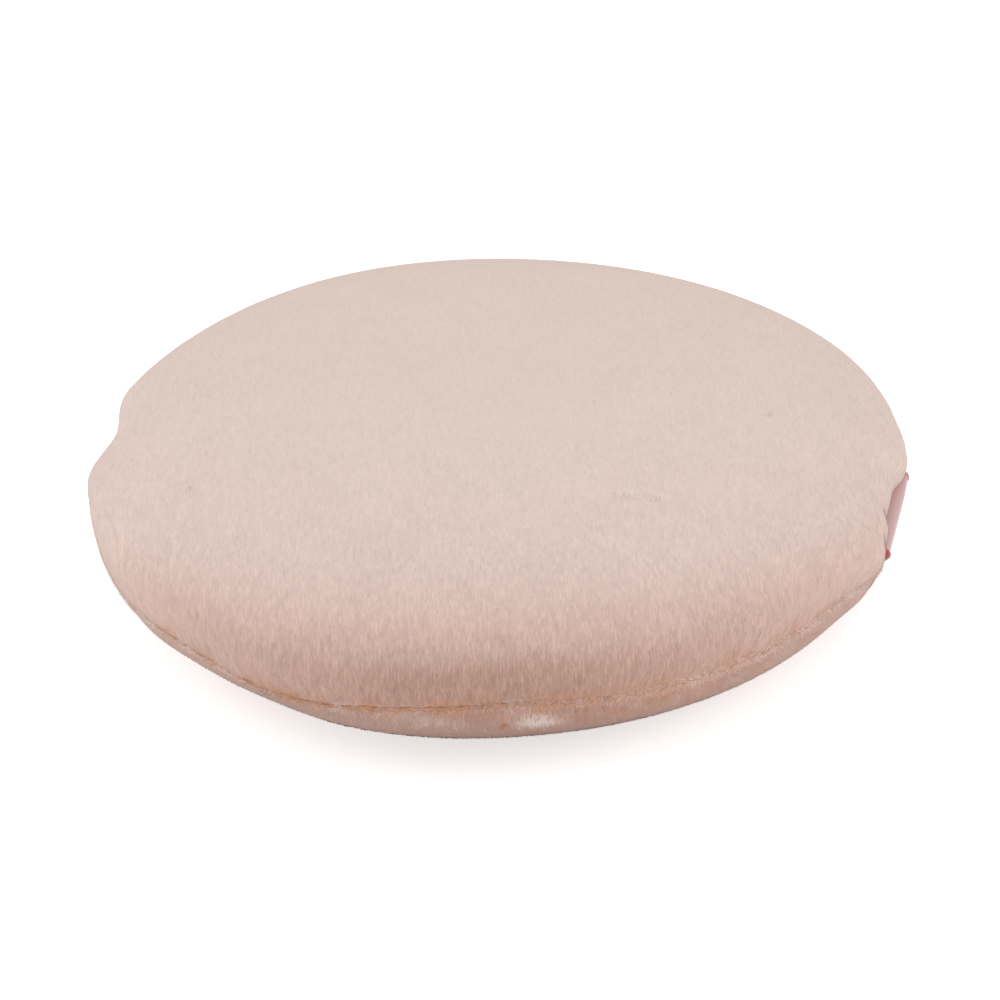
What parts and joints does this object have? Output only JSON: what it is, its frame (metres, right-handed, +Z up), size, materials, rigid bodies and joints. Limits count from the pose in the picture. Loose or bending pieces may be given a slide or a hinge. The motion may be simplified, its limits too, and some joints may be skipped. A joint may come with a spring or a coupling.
{
  "type": "powder puff",
  "caption": "Round velour powder puff: two panels sewn at the rim over a foam core, with a satin finger band across the back.",
  "frame": {"origin": "centre of the puff, on the plane that its back rests on", "axes": "+Z up through the crown of the face panel, +X along the finger band, +Y across it"},
  "size_m": [0.0788, 0.08, 0.0175],
  "materials": {
    "velour_face": "short brushed pile, pale pinkish beige",
    "velour_back": "short brushed pile, dusty pink",
    "foam": "open-cell foam, cream",
    "satin": "satin ribbon, dusty rose",
    "thread": "spun thread, tan"
  },
  "bodies": {
    "pad": {"back_panel": "velour_back", "foam_core": "foam", "band_end_left": "satin", "band_end_right": "satin", "seam_thread": "thread"},
    "face": {"face_panel": "velour_face"},
    "band": {"finger_band": "satin"}
  },
  "joints": [
    {"name": "face_press", "type": "slide", "parent": "pad", "child": "face", "axis": [0, 0, 1], "range_m": [-0.004, 0], "stiffness_N_per_m": 60, "deforming": ["face_panel", "foam_core"]},
    {"name": "band_lift", "type": "slide", "parent": "pad", "child": "band", "axis": [0, 0, -1], "range_m": [0, 0.008], "stiffness_N_per_m": 5}
  ]
}
